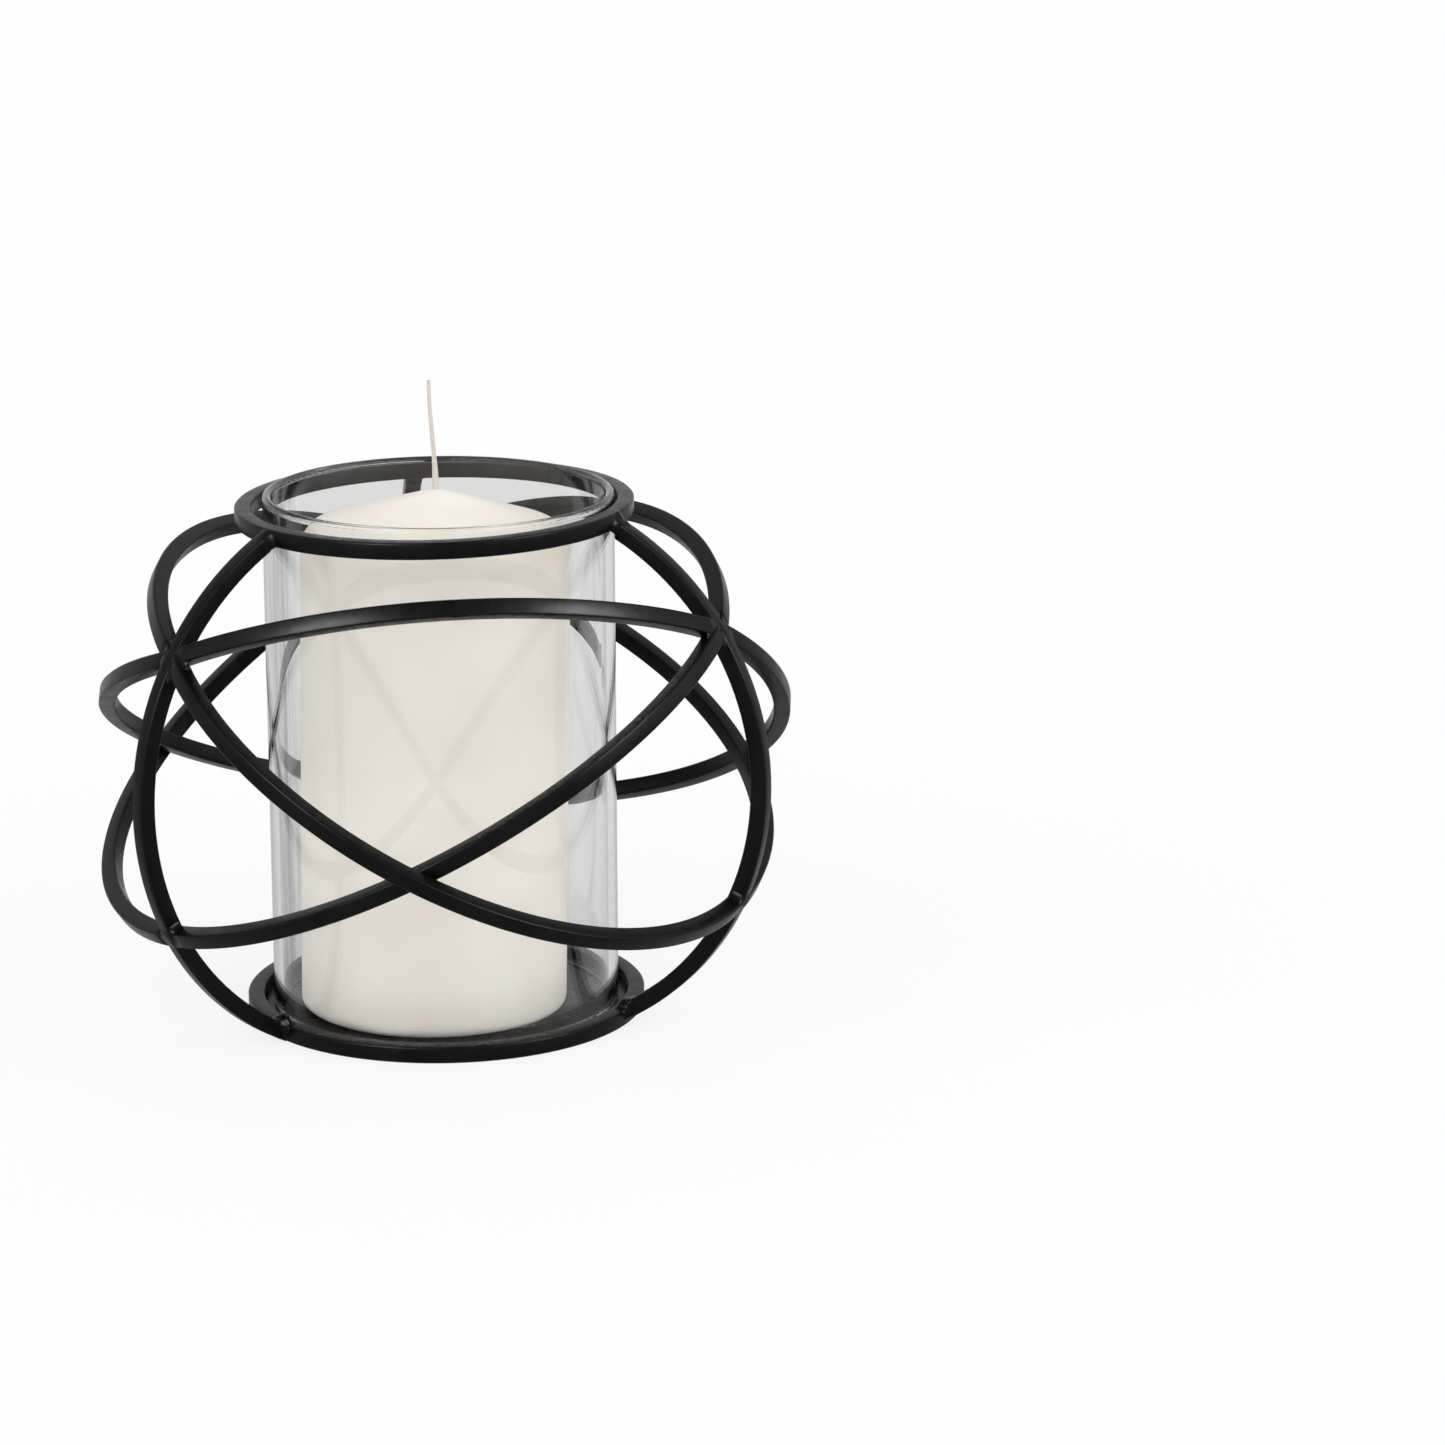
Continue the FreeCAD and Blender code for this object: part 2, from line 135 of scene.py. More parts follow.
class LanternWelds(bpy.types.PropertyGroup):
    """Sizes of the filled joints."""

    reach: bpy.props.FloatProperty(
        name="Reach", description="Half the size of a joint's filled region", unit="LENGTH", default=9 * MM)
    grain: bpy.props.FloatProperty(
        name="Grain", description="Fineness of the fillets", unit="LENGTH", default=0.4 * MM)
    rise: bpy.props.FloatProperty(
        name="Rise", description="How far weld and coat stand up at a joint's middle", unit="LENGTH",
        default=0.6 * MM)
    fall: bpy.props.FloatProperty(
        name="Fall", description="How far the skin lies under the bars' faces at the region's end",
        unit="LENGTH", default=0.4 * MM)
    lump: bpy.props.FloatProperty(
        name="Lump", description="Height of the weld's lumps", unit="LENGTH", default=0.8 * MM)
    lump_size: bpy.props.FloatProperty(
        name="Lump size", description="Width of the weld's lumps", unit="LENGTH", default=2.8 * MM)
    fill: bpy.props.FloatProperty(
        name="Fill", description="Radius to which inner corners are filled", unit="LENGTH", default=2.4 * MM)
    softening: bpy.props.IntProperty(name="Softening", description="Rounds of smoothing", default=4)


class LanternWick(bpy.types.PropertyGroup):
    """Place and sizes of the braided wick."""

    candle_shift: bpy.props.FloatProperty(
        name="Candle shift", description="Candle's foot left of the axis", unit="LENGTH", default=4.8 * MM)
    candle_lean: bpy.props.FloatProperty(
        name="Candle lean", description="Lean to the right", subtype="ANGLE", default=math.radians(1.1))
    sway: bpy.props.FloatProperty(
        name="Sway", description="Sideways run of the free wick", unit="LENGTH", default=2.6 * MM)
    tip_radius: bpy.props.FloatProperty(
        name="Tip radius", description="Braid at its tip", unit="LENGTH", default=0.75 * MM)
    cotton_radius: bpy.props.FloatProperty(
        name="Cotton radius", description="Braid above its waxed foot", unit="LENGTH", default=0.95 * MM)
    foot_radius: bpy.props.FloatProperty(
        name="Foot radius", description="Waxed foot of the wick", unit="LENGTH", default=1.35 * MM)
    foot_length: bpy.props.FloatProperty(
        name="Foot length", description="Height to which wax thickens the wick", unit="LENGTH",
        default=13 * MM)
    strands: bpy.props.IntProperty(name="Strands", description="Strands seen round the wick", default=4)
    lay_length: bpy.props.FloatProperty(
        name="Lay", description="Length of one turn of the braid", unit="LENGTH", default=5 * MM)


class LanternStage(bpy.types.PropertyGroup):
    """Camera, floor and lights."""

    picture_pixels: bpy.props.IntProperty(
        name="Picture", description="Side of the square picture", default=1445)
    focal_pixels: bpy.props.FloatProperty(
        name="Focal length", description="In picture pixels", default=5000)
    camera_place: bpy.props.FloatVectorProperty(
        name="Camera", description="Where the camera stands", subtype="TRANSLATION", unit="LENGTH",
        default=(-0.1581, -1.8023, 0.5843))
    camera_turn: bpy.props.FloatProperty(
        name="Turn", description="Heading to the right of +Y", subtype="ANGLE", default=math.radians(8.33))
    camera_pitch: bpy.props.FloatProperty(
        name="Pitch", description="How far it looks down", subtype="ANGLE", default=math.radians(14.75))
    camera_roll: bpy.props.FloatProperty(
        name="Roll", description="Turn of the picture", subtype="ANGLE", default=math.radians(-0.14))
    floor_colour: bpy.props.FloatVectorProperty(
        name="Floor", description="Pale floor", subtype="COLOR", default=(0.92, 0.92, 0.92))
    floor_white: bpy.props.FloatProperty(
        name="Floor white", description="Share of plain white in the floor's look", subtype="FACTOR",
        default=0.8)
    floor_in_glass: bpy.props.FloatProperty(
        name="Floor in glass", description="Level of that white where it is seen through glass or mirrored",
        subtype="FACTOR", default=0.7)
    front_level: bpy.props.FloatProperty(
        name="Front level", description="Room light from the camera's side", default=0.45)
    back_level: bpy.props.FloatProperty(
        name="Back level", description="Room light from behind", default=0.9)
    key_level: bpy.props.FloatProperty(
        name="Lamps", description="Strength of each of the two front lamps", default=2.5)
    sheen_level: bpy.props.FloatProperty(
        name="Sheen", description="Strength of the two lamps that only show as sheen on the coat", default=6)


# Node helpers
def new_material(name):
    """Empty node material with an output."""
    material = bpy.data.materials.new(name)
    material.use_nodes = True
    material.node_tree.nodes.clear()
    output = material.node_tree.nodes.new("ShaderNodeOutputMaterial")
    return material, output


def add_node(material, kind, **inputs):
    """New node with some of its sockets set. Spaces in socket names are written as underscores."""
    node = material.node_tree.nodes.new(kind)
    for name, value in inputs.items():
        node.inputs[name.replace("_", " ")].default_value = value
    return node


def link(material, source, target):
    material.node_tree.links.new(source, target)


def maths(material, operation, first, second):
    """Math node on two sockets or numbers."""
    node = material.node_tree.nodes.new("ShaderNodeMath")
    node.operation = operation
    for socket, value in zip(node.inputs, (first, second)):
        if isinstance(value, (int, float)):
            socket.default_value = value
        else:
            link(material, value, socket)
    return node.outputs["Value"]


def opaque(colour):
    return (*colour, 1.0)


def scaled(colour, factor):
    return tuple(min(1.0, c * factor) for c in colour)


def noise(material, size, detail, roughness=0.5, stretch=(1, 1, 1)):
    """Noise in the object's own coordinates, with features of about this size."""
    place = material.node_tree.nodes.new("ShaderNodeTexCoord")
    mapping = add_node(material, "ShaderNodeMapping", Scale=stretch)
    texture = add_node(material, "ShaderNodeTexNoise", Scale=1 / size, Detail=detail, Roughness=roughness)
    link(material, place.outputs["Object"], mapping.inputs["Vector"])
    link(material, mapping.outputs["Vector"], texture.inputs["Vector"])
    return texture.outputs["Fac"]


def ramp(material, factor, low, high, colours):
    """Two-colour ramp over part of a factor's range."""
    node = material.node_tree.nodes.new("ShaderNodeValToRGB")
    node.color_ramp.elements[0].position = low
    node.color_ramp.elements[1].position = high
    for element, colour in zip(node.color_ramp.elements, colours):
        element.color = opaque(colour)
    link(material, factor, node.inputs["Fac"])
    return node.outputs["Color"]


def step(material, value, start, end, low=0.0, high=1.0):
    """Go from one number to another while a value runs from start to end."""
    node = add_node(material, "ShaderNodeMapRange", From_Min=start, From_Max=end, To_Min=low, To_Max=high)
    link(material, value, node.inputs["Value"])
    return node.outputs["Result"]


def spread(material, factor, low, high):
    """Map a noise factor on to a narrow range of numbers."""
    return step(material, factor, 0.3, 0.7, low, high)


def bump(material, height, strength, distance):
    node = add_node(material, "ShaderNodeBump", Strength=strength, Distance=distance)
    link(material, height, node.inputs["Height"])
    return node


def edge_share(material, width):
    """How near a point is to an edge, from the turn of the rounded normal."""
    rounded = add_node(material, "ShaderNodeBevel", Radius=width)
    surface = material.node_tree.nodes.new("ShaderNodeNewGeometry")
    turn = material.node_tree.nodes.new("ShaderNodeVectorMath")
    turn.operation = "DOT_PRODUCT"
    link(material, rounded.outputs["Normal"], turn.inputs[0])
    link(material, surface.outputs["Normal"], turn.inputs[1])
    return maths(material, "SUBTRACT", 1.0, turn.outputs["Value"])


def blend_colours(material, factor, *colours):
    """Mix of two colours, each of them plain or a socket."""
    node = material.node_tree.nodes.new("ShaderNodeMix")
    node.data_type = "RGBA"
    link(material, factor, node.inputs["Factor"])
    for name, colour in zip("AB", colours):
        if isinstance(colour, bpy.types.NodeSocket):
            link(material, colour, node.inputs[name])
        else:
            node.inputs[name].default_value = opaque(colour)
    return node.outputs["Result"]


# Finishes
def powder_coat(finish):
    """Satin black coat with a fine orange-peel texture and faint cloudy patches. A lighter colour along the
    edges, in patches, is a painted highlight.
    """
    material, output = new_material("satin_black_coat")
    shader = add_node(material, "ShaderNodeBsdfPrincipled", Specular_IOR_Level=finish.coat_gloss)
    patch_size, highlight_size, satin_size, run_size = 25 * MM, 7 * MM, 9 * MM, 4 * MM
    highlight_width, edge_radius = 0.7 * MM, 0.8 * MM
    peel_height, run_height = 0.05 * MM, 0.2 * MM
    patches = ramp(material, noise(material, patch_size, 3), 0.35, 0.7,
                   (scaled(finish.coat_colour, 0.75), scaled(finish.coat_colour, 1.4)))
    # Painted highlight: a lighter colour along the edges, broken into patches by noise
    painted_edge_highlight = maths(material, "MULTIPLY", edge_share(material, highlight_width),
                   spread(material, noise(material, highlight_size, 4), 0.2, 2.2))
    coat = blend_colours(material, painted_edge_highlight, patches, finish.edge_highlight_colour)
    link(material, coat, shader.inputs["Base Color"])
    rough = spread(material, noise(material, satin_size, 4),
                   finish.coat_roughness - 0.05, finish.coat_roughness + 0.07)
    link(material, rough, shader.inputs["Roughness"])
    peel = bump(material, noise(material, finish.coat_grain, 2), 0.3, peel_height)
    runs = bump(material, noise(material, run_size, 2), 0.25, run_height)
    soft_edges = add_node(material, "ShaderNodeBevel", Radius=edge_radius)
    link(material, soft_edges.outputs["Normal"], runs.inputs["Normal"])
    link(material, runs.outputs["Normal"], peel.inputs["Normal"])
    link(material, peel.outputs["Normal"], shader.inputs["Normal"])
    link(material, shader.outputs["BSDF"], output.inputs["Surface"])
    return material


def clear_glass(finish):
    """Clear drawn glass with a ground foot, whose tint deepens on long ways through it. Where the wall is
    seen edge-on it carries painted shade: streaks, much darker on the left side, and a near-black outline at
    the silhouettes.
    """
    material, output = new_material("clear_glass")
    shader = add_node(material, "ShaderNodeBsdfPrincipled", IOR=1.45, Transmission_Weight=1.0)
    drawn = (1, 1, 0.03)
    right_shade_streak, left_shade_streak, left_shade_blend = 6 * MM, 4 * MM, 30 * MM
    rim_start, rim_full = GLASS_TOP - 2.4 * MM, GLASS_TOP - 2 * MM
    ground_start, ground_full = GLASS_FOOT + 1.4 * MM, GLASS_FOOT + 0.8 * MM
    smear_size, wave_size, wave_height = 30 * MM, 22 * MM, 0.3 * MM
    groove_pitch, groove_height = 0.7 * MM, 0.08 * MM
    shade_slant, outline_slant = (0.48, 0.54), (0.8, 0.92)
    place = material.node_tree.nodes.new("ShaderNodeTexCoord")
    axes = material.node_tree.nodes.new("ShaderNodeSeparateXYZ")
    link(material, place.outputs["Object"], axes.inputs["Vector"])
    # Painted shade: a faint streaky darkening on the right side where the wall is seen edge-on
    right_painted_shade = ramp(material, noise(material, right_shade_streak, 2, 0.5, drawn), 0.38, 0.6,
                      (scaled(finish.glass_colour, 0.92), finish.glass_colour))
    # Painted shade: the left side's edge-on streaks are much darker, standing for dark surroundings seen in
    # the glass
    left_painted_shade = ramp(material, noise(material, left_shade_streak, 2, 0.5, drawn), 0.34, 0.66,
                      (scaled(finish.glass_colour, 0.45), scaled(finish.glass_colour, 0.9)))
    # Share of the left side's painted shade, rising from right to left of the axis
    side = step(material, axes.outputs["X"], left_shade_blend, -left_shade_blend)
    edge_on_painted_shade = blend_colours(material, side, right_painted_shade, left_painted_shade)
    slant = add_node(material, "ShaderNodeLayerWeight", Blend=0.5)
    rim = step(material, axes.outputs["Z"], rim_start, rim_full)
    below_rim = maths(material, "SUBTRACT", 1.0, rim)
    # Painted shade: where the wall is seen edge-on, the glass takes the streaky darker tint
    along = maths(material, "MULTIPLY", step(material, slant.outputs["Facing"], *shade_slant), below_rim)
    # Painted shade: a near-black outline where the wall is seen almost edge-on, at the glass's silhouettes
    edge = maths(material, "MULTIPLY", step(material, slant.outputs["Facing"], *outline_slant), below_rim)
    walls = blend_colours(material, along, finish.glass_colour, edge_on_painted_shade)
    painted_dark_outline = blend_colours(material, edge, walls, scaled(finish.glass_colour, 0.1))
    ground = step(material, axes.outputs["Z"], ground_start, ground_full)
    footed = blend_colours(material, ground, painted_dark_outline, finish.glass_foot)
    link(material, footed, shader.inputs["Base Color"])
    smears = spread(material, noise(material, smear_size, 2), 0.0, 0.015)
    matt = maths(material, "MULTIPLY", ground, 0.4)
    link(material, maths(material, "MAXIMUM", matt, smears), shader.inputs["Roughness"])
    waves = bump(material, noise(material, wave_size, 1, 0.5, drawn), 0.12, wave_height)
    turns = maths(material, "MULTIPLY", axes.outputs["Z"], 2 * math.pi / groove_pitch)
    rings = maths(material, "MULTIPLY", maths(material, "SINE", turns, 0), rim)
    grooves = bump(material, rings, 0.35, groove_height)
    link(material, waves.outputs["Normal"], grooves.inputs["Normal"])
    link(material, grooves.outputs["Normal"], shader.inputs["Normal"])
    depth = add_node(material, "ShaderNodeVolumeAbsorption", Color=opaque(finish.glass_depth),
                     Density=finish.glass_density)
    link(material, shader.outputs["BSDF"], output.inputs["Surface"])
    link(material, depth.outputs["Volume"], output.inputs["Volume"])
    return material


def ivory_wax(finish):
    """Translucent ivory wax with cloudy patches, small dimples and a soft sheen."""
    material, output = new_material("ivory_wax")
    glow_depth = 6 * MM
    cloud_size, sheen_size, dimple_size, swell_size = 45 * MM, 12 * MM, 5 * MM, 28 * MM
    dimple_height, swell_height = 0.15 * MM, 0.6 * MM
    shader = add_node(material, "ShaderNodeBsdfPrincipled", IOR=1.44, Subsurface_Weight=0.5,
                      Subsurface_Radius=(1.0, 0.8, 0.6), Subsurface_Scale=glow_depth, Specular_IOR_Level=0.4)
    clouds = ramp(material, noise(material, cloud_size, 3), 0.35, 0.65, (finish.wax_colour, finish.wax_pale))
    link(material, clouds, shader.inputs["Base Color"])
    link(material, spread(material, noise(material, sheen_size, 3), 0.36, 0.5), shader.inputs["Roughness"])
    dimples = bump(material, noise(material, dimple_size, 3), 0.15, dimple_height)
    swells = bump(material, noise(material, swell_size, 1), 0.25, swell_height)
    link(material, swells.outputs["Normal"], dimples.inputs["Normal"])
    link(material, dimples.outputs["Normal"], shader.inputs["Normal"])
    link(material, shader.outputs["BSDF"], output.inputs["Surface"])
    return material


def waxed_cotton(finish):
    """Off-white cotton with fine fibres."""
    material, output = new_material("waxed_cotton")
    shader = add_node(material, "ShaderNodeBsdfPrincipled")
    fibre_size, fibre_height = 0.5 * MM, 0.05 * MM
    fibres = noise(material, fibre_size, 4, 0.7)
    shades = (scaled(finish.wick_colour, 0.85), scaled(finish.wick_colour, 1.1))
    link(material, ramp(material, fibres, 0.3, 0.7, shades), shader.inputs["Base Color"])
    link(material, spread(material, fibres, 0.55, 0.75), shader.inputs["Roughness"])
    link(material, bump(material, fibres, 0.4, fibre_height).outputs["Normal"], shader.inputs["Normal"])
    link(material, shader.outputs["BSDF"], output.inputs["Surface"])
    return material


def dress_node(name, material):
    """Give a carried-over node its finish."""
    node = frame["nodes"][name]
    node.data.materials.clear()
    node.data.materials.append(material)
    return node


def soften_bar(node):
    """Shade the bevels of a bar as soft edges, with its broad faces kept flat."""
    weld = node.modifiers.new("joined_faces", "WELD")
    weld.merge_threshold = MERGE
    normals = node.modifiers.new("soft_edges", "WEIGHTED_NORMAL")
    normals.weight = 100
    normals.keep_sharp = False


def add_piece(context, name, mesh, material, body, slot, *nodes):
    """New piece that rides on a body and stands for CAD nodes."""
    piece = bpy.data.objects.new(name, mesh)
    context.scene.collection.objects.link(piece)
    mesh.materials.append(material)
    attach(piece, body)
    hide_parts(*nodes)
    return piece


class LANTERN_OT_cage(bpy.types.Operator):
    """Coat the bars and the base plate"""
    bl_idname = "lantern.cage"
    bl_label = "Coat the cage"

    def execute(self, context):
        material = powder_coat(context.scene.lantern_finish)
        for name in BAR_NODES:
            soften_bar(dress_node(name, material))
        return {"FINISHED"}


# Weld fillets: the bars and beads at a joint, melted together and smoothed
def joint_centres(node_name):
    """Middle of the beads at each rib, from the weld node's own points."""
    groups = {azimuth: [] for azimuth in RIB_AZIMUTHS}
    for vertex in frame["nodes"][node_name].data.vertices:
        heading = math.degrees(math.atan2(vertex.co.x, -vertex.co.y))
        nearest = min(RIB_AZIMUTHS, key=lambda azimuth: abs((heading - azimuth + 180) % 360 - 180))
        groups[nearest].append(vertex.co)
    return [sum(points, Vector()) / len(points) for points in groups.values()]


def clipped_copy(mesh, centre, half):
    """Closed copy of the part of a mesh that lies in a cube, or nothing where none does."""
    work = bmesh.new()
    work.from_mesh(mesh)
    bmesh.ops.remove_doubles(work, verts=work.verts, dist=MERGE)
    for axis in range(3):
        for sign in (-1, 1):
            outward = Vector((0, 0, 0))
            outward[axis] = sign
            everything = work.verts[:] + work.edges[:] + work.faces[:]
            cut = bmesh.ops.bisect_plane(work, geom=everything, plane_co=centre + outward * half,
                                         plane_no=outward, clear_outer=True)
            rim = [part for part in cut["geom_cut"] if isinstance(part, bmesh.types.BMEdge)]
            if rim:
                bmesh.ops.edgeloop_fill(work, edges=rim)
    copy = bpy.data.meshes.new("clipped")
    work.to_mesh(copy)
    work.free()
    return copy


def melted(context, mesh, sizes):
    """One skin round all closed parts, swelled and shrunk again, which fills grooves and corners."""
    holder = bpy.data.objects.new("melting", mesh)
    context.scene.collection.objects.link(holder)
    for change in (sizes.fill, -sizes.fill):
        skin = holder.modifiers.new("skin", "REMESH")
        skin.mode = "VOXEL"
        skin.voxel_size = sizes.grain
        smooth = holder.modifiers.new("smooth", "SMOOTH")
        smooth.factor = 0.5
        smooth.iterations = sizes.softening
        swell = holder.modifiers.new("swell", "DISPLACE")
        swell.mid_level = 0
        swell.strength = change
    clean = holder.modifiers.new("clean", "REMESH")
    clean.mode = "VOXEL"
    clean.voxel_size = sizes.grain
    graph = context.evaluated_depsgraph_get()
    result = bpy.data.meshes.new_from_object(holder.evaluated_get(graph))
    bpy.data.objects.remove(holder)
    return result


def raise_weld(mesh, centre, sizes, lumpiness):
    """Raise the skin softly at the joint's middle, with lumps, and sink its ends under the bars' faces."""
    falloff = 4
    normals = [vertex.normal.copy() for vertex in mesh.vertices]
    for vertex, normal in zip(mesh.vertices, normals):
        share = (vertex.co - centre).length / sizes.reach
        lump = max(0.0, field.noise(vertex.co / sizes.lump_size)) * lumpiness * sizes.lump
        near = max(0.0, 1 - share * share) ** falloff
        vertex.co += normal * ((sizes.rise + lump) * near - sizes.fall * min(1.0, share))


class LANTERN_OT_welds(bpy.types.Operator):
    """Fill the joints between the bars"""
    bl_idname = "lantern.welds"
    bl_label = "Fill the joints"

    def execute(self, context):
        sizes = context.scene.lantern_welds
        material = bpy.data.materials["satin_black_coat"]
        for node_name, lumpiness in WELD_NODES.items():
            fillets = bmesh.new()
            for centre in joint_centres(node_name):
                fillets.from_mesh(self.fillet(context, node_name, centre, sizes, lumpiness))
            for face in fillets.faces:
                face.smooth = True
            mesh = bpy.data.meshes.new(node_name + "_filled")
            fillets.to_mesh(mesh)
            fillets.free()
            add_piece(context, node_name + "_filled", mesh, material, "cage", "powder_coat", node_name)
        return {"FINISHED"}

    def fillet(self, context, node_name, centre, sizes, lumpiness):
        sources = BAR_NODES + [node_name] if node_name in BEADED_NODES else BAR_NODES
        parts = bmesh.new()
        for name in sources:
            parts.from_mesh(clipped_copy(frame["nodes"][name].data, centre, sizes.reach))
        joined = bpy.data.meshes.new("joined")
        parts.to_mesh(joined)
        parts.free()
        if not joined.polygons:
            raise RuntimeError("no bars found at a joint of " + node_name)
        skin = melted(context, joined, sizes)
        raise_weld(skin, centre, sizes, lumpiness)
        return skin


class LANTERN_OT_glass(bpy.types.Operator):
    """Make the cylinder clear glass"""
    bl_idname = "lantern.glass"
    bl_label = "Clear the glass"

    def execute(self, context):
        glass = dress_node("glass_cylinder", clear_glass(context.scene.lantern_finish))
        glass.visible_shadow = False
        return {"FINISHED"}


class LANTERN_OT_candle(bpy.types.Operator):
    """Make the candle ivory wax"""
    bl_idname = "lantern.candle"
    bl_label = "Colour the candle"

    def execute(self, context):
        dress_node("candle_wax", ivory_wax(context.scene.lantern_finish))
        return {"FINISHED"}


class LANTERN_OT_wick(bpy.types.Operator):
    """Braid the wick, with its foot thickened by wax"""
    bl_idname = "lantern.wick"
    bl_label = "Braid the wick"

    ROWS = 180
    COLUMNS = 24
    SUNK = 1 * MM
    # Depth of the grooves between strands, and how much of it wax fills at the foot
    GROOVE_DEPTH = 0.14
    GROOVE_FILL = 0.7

    def execute(self, context):
        sizes = context.scene.lantern_wick
        work = bmesh.new()
        low = WAX_TOP - self.SUNK
        rings = []
        for row in range(self.ROWS + 1):
            height = low + (WICK_TOP - low) * row / self.ROWS
            rings.append(self.ring(work, sizes, height))
        for lower, upper in zip(rings, rings[1:]):
            for i in range(self.COLUMNS):
                j = (i + 1) % self.COLUMNS
                work.faces.new((lower[i], lower[j], upper[j], upper[i])).smooth = True
        work.faces.new(reversed(rings[0]))
        work.faces.new(rings[-1])
        mesh = bpy.data.meshes.new("braided_wick")
        work.to_mesh(mesh)
        work.free()
        material = waxed_cotton(context.scene.lantern_finish)
        add_piece(context, "braided_wick", mesh, material, "candle", "wick_cotton", "candle_wick")
        return {"FINISHED"}

    def ring(self, work, sizes, height):
        """One ring of points round the wick's leaning, swaying middle."""
        above = max(0.0, height - WAX_TOP)
        share = above / (WICK_TOP - WAX_TOP)
        sway = sizes.sway * share * share * (3 - 2 * share)
        middle_x = math.tan(sizes.candle_lean) * (height - WAX_FOOT) - sizes.candle_shift - sway
        middle = Vector((middle_x, 0, height))
        radius = sizes.cotton_radius + (sizes.tip_radius - sizes.cotton_radius) * share
        wax = max(0.0, 1 - above / sizes.foot_length)
        radius += (sizes.foot_radius - sizes.cotton_radius) * wax
        turn = 2 * math.pi * above / sizes.lay_length
        pairs = sizes.strands / 2
        unfilled = 1 - self.GROOVE_FILL * wax
        points = []
        for column in range(self.COLUMNS):
            angle = 2 * math.pi * column / self.COLUMNS
            crossing = math.sin(pairs * (angle + turn)) * math.sin(pairs * (angle - turn))
            reach = radius * (1 - self.GROOVE_DEPTH * (1 - abs(crossing)) * unfilled)
            points.append(work.verts.new(middle + Vector((math.cos(angle), math.sin(angle), 0)) * reach))
        return points


# Stage
def floor_material(settings):
    """Pale floor: part of it is lit, so that shadows show, and the rest is plain white where it is seen."""
    material, output = new_material("pale_floor")
    matt = add_node(material, "ShaderNodeBsdfDiffuse")
    shades = (scaled(settings.floor_colour, 0.995), settings.floor_colour)
    shade_size = 0.8
    link(material, ramp(material, noise(material, shade_size, 2), 0.3, 0.7, shades), matt.inputs["Color"])
    white = material.node_tree.nodes.new("ShaderNodeEmission")
    path = material.node_tree.nodes.new("ShaderNodeLightPath")
    turned = maths(material, "MAXIMUM", path.outputs["Is Glossy Ray"], path.outputs["Is Transmission Ray"])
    seen = maths(material, "MAXIMUM", path.outputs["Is Camera Ray"], turned)
    unscattered = step(material, path.outputs["Diffuse Depth"], 0, 1, 1, 0)
    dimmed = maths(material, "MULTIPLY", turned, unscattered)
    link(material, step(material, dimmed, 0, 1, 1, settings.floor_in_glass), white.inputs["Strength"])
    mix = material.node_tree.nodes.new("ShaderNodeMixShader")
    link(material, maths(material, "MULTIPLY", seen, settings.floor_white), mix.inputs["Fac"])
    link(material, matt.outputs["BSDF"], mix.inputs[1])
    link(material, white.outputs["Emission"], mix.inputs[2])
    link(material, mix.outputs["Shader"], output.inputs["Surface"])
    return material


def soft_lamp(context, name, towards, strength, breadth):
    """Soft lamp, even over the whole floor, that shines from a direction with a breadth in degrees."""
    lamp = bpy.data.lights.new(name, "SUN")
    lamp.energy = strength
    lamp.angle = math.radians(breadth)
    holder = bpy.data.objects.new(name, lamp)
    context.scene.collection.objects.link(holder)
    holder.rotation_euler = Vector(towards).to_track_quat("Z", "Y").to_euler()
    return holder


def studio_world(settings):
    """Plain studio walls: bright behind, dimmer on the camera's side."""
    bright_side = (0.4, 0.9, -0.3)
    dim_end, bright_end = -0.6, 0.7
    world = bpy.data.worlds.new("studio")
    world.use_nodes = True
    nodes, links = world.node_tree.nodes, world.node_tree.links
    place = nodes.new("ShaderNodeTexCoord")
    along = nodes.new("ShaderNodeVectorMath")
    along.operation = "DOT_PRODUCT"
    along.inputs[1].default_value = bright_side
    links.new(place.outputs["Generated"], along.inputs[0])
    level = nodes.new("ShaderNodeMapRange")
    level.interpolation_type = "SMOOTHSTEP"
    level.inputs["From Min"].default_value = dim_end
    level.inputs["From Max"].default_value = bright_end
    level.inputs["To Min"].default_value = settings.front_level
    level.inputs["To Max"].default_value = settings.back_level
    links.new(along.outputs["Value"], level.inputs["Value"])
    links.new(level.outputs["Result"], nodes["Background"].inputs["Strength"])
    nodes["Background"].inputs["Color"].default_value = (1, 1, 1, 1)
    return world


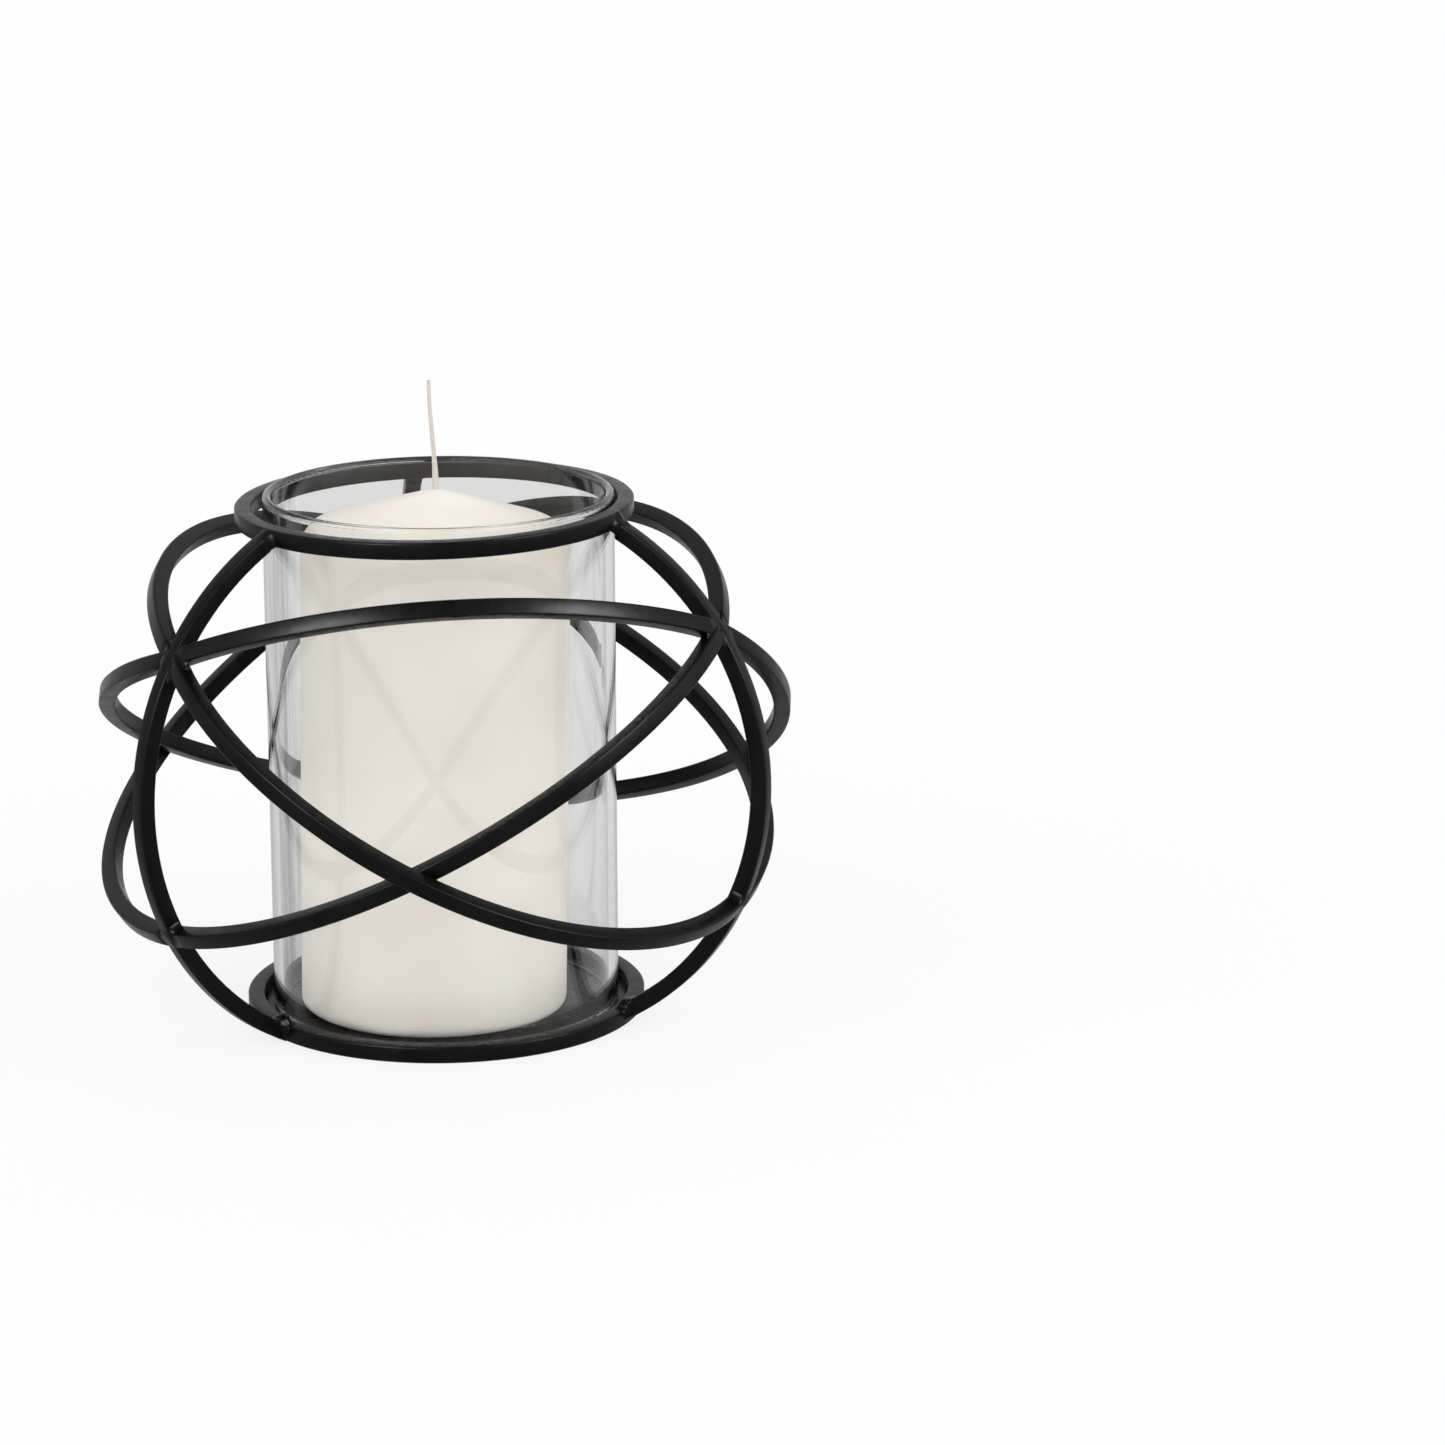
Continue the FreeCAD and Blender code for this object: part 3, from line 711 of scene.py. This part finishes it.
class LANTERN_OT_stage(bpy.types.Operator):
    """Lay the floor, set the lights and stand the camera"""
    bl_idname = "lantern.stage"
    bl_label = "Set the stage"

    FLOOR_HALF = 12.0
    # Directions towards the lamps, and the lamps' breadths in degrees
    KEY_LAMPS = {"left_front": (-1.0, -0.75, 0.2), "right_front": (1.0, -0.75, 0.2)}
    KEY_BREADTH = 90
    SHEEN_LAMPS = {"left_sheen": (-0.61, -0.65, 0.45), "right_sheen": (0.69, -0.52, 0.45)}
    SHEEN_BREADTH = 25
    # Film width in millimetres, and the nearest and farthest distance in view
    FILM = 36
    NEAR, FAR = 0.05, 50

    def execute(self, context):
        settings = context.scene.lantern_stage
        self.lay_floor(context, settings)
        self.light(context, settings)
        self.stand_camera(context, settings)
        context.scene.view_settings.view_transform = "Standard"
        return {"FINISHED"}

    def lay_floor(self, context, settings):
        half = self.FLOOR_HALF
        mesh = bpy.data.meshes.new("floor")
        corners = [(-half, -half, 0), (half, -half, 0), (half, half, 0), (-half, half, 0)]
        mesh.from_pydata(corners, [], [(0, 1, 2, 3)])
        floor = bpy.data.objects.new("floor", mesh)
        floor.location.z = CAD_BOX[0].z
        context.scene.collection.objects.link(floor)
        mesh.materials.append(floor_material(settings))

    def light(self, context, settings):
        context.scene.world = studio_world(settings)
        for name, towards in self.KEY_LAMPS.items():
            soft_lamp(context, name, towards, settings.key_level, self.KEY_BREADTH)
        coated = bpy.data.collections.new("coated")
        for name in BAR_NODES:
            coated.objects.link(frame["nodes"][name])
        for name in WELD_NODES:
            coated.objects.link(bpy.data.objects[name + "_filled"])
        for name, towards in self.SHEEN_LAMPS.items():
            sheen = soft_lamp(context, name, towards, settings.sheen_level, self.SHEEN_BREADTH)
            sheen.visible_diffuse = False
            sheen.light_linking.receiver_collection = coated

    def stand_camera(self, context, settings):
        turn, pitch = settings.camera_turn, settings.camera_pitch
        level = Vector((math.sin(turn), math.cos(turn), 0))
        forward = level * math.cos(pitch) - Vector((0, 0, math.sin(pitch)))
        right = Vector((math.cos(turn), -math.sin(turn), 0))
        up = right.cross(forward)
        lens = bpy.data.cameras.new("camera")
        lens.sensor_width = self.FILM
        lens.lens = settings.focal_pixels / settings.picture_pixels * lens.sensor_width
        lens.clip_start, lens.clip_end = self.NEAR, self.FAR
        camera = bpy.data.objects.new("camera", lens)
        context.scene.collection.objects.link(camera)
        axes = Matrix((right, up, -forward)).transposed()
        rolled = axes @ Matrix.Rotation(settings.camera_roll, 3, "Z")
        camera.matrix_world = Matrix.Translation(settings.camera_place) @ rolled.to_4x4()
        context.scene.camera = camera


OPERATORS = (LANTERN_OT_cage, LANTERN_OT_welds, LANTERN_OT_glass, LANTERN_OT_candle, LANTERN_OT_wick,
             LANTERN_OT_stage)
GROUPS = {"lantern_finish": LanternFinish, "lantern_welds": LanternWelds, "lantern_wick": LanternWick,
          "lantern_stage": LanternStage}


class LANTERN_PT_sidebar(bpy.types.Panel):
    """Steps and settings of the lantern"""
    bl_idname = "LANTERN_PT_sidebar"
    bl_label = "Lantern"
    bl_space_type = "VIEW_3D"
    bl_region_type = "UI"
    bl_category = "Lantern"

    def draw(self, context):
        for operator in OPERATORS:
            self.layout.operator(operator.bl_idname)
        for name in GROUPS:
            group = getattr(context.scene, name)
            box = self.layout.box()
            for setting in group.__annotations__:
                box.prop(group, setting)


def register():
    for group in GROUPS.values():
        bpy.utils.register_class(group)
    for name, group in GROUPS.items():
        setattr(bpy.types.Scene, name, bpy.props.PointerProperty(type=group))
    for cls in (*OPERATORS, LANTERN_PT_sidebar):
        bpy.utils.register_class(cls)


def unregister():
    for cls in (LANTERN_PT_sidebar, *reversed(OPERATORS)):
        bpy.utils.unregister_class(cls)
    for name, group in GROUPS.items():
        delattr(bpy.types.Scene, name)
        bpy.utils.unregister_class(group)


def main():
    register()
    bpy.ops.lantern.cage()
    bpy.ops.lantern.welds()
    bpy.ops.lantern.glass()
    bpy.ops.lantern.candle()
    bpy.ops.lantern.wick()
    bpy.ops.lantern.stage()


if __name__ == "__main__":
    main()
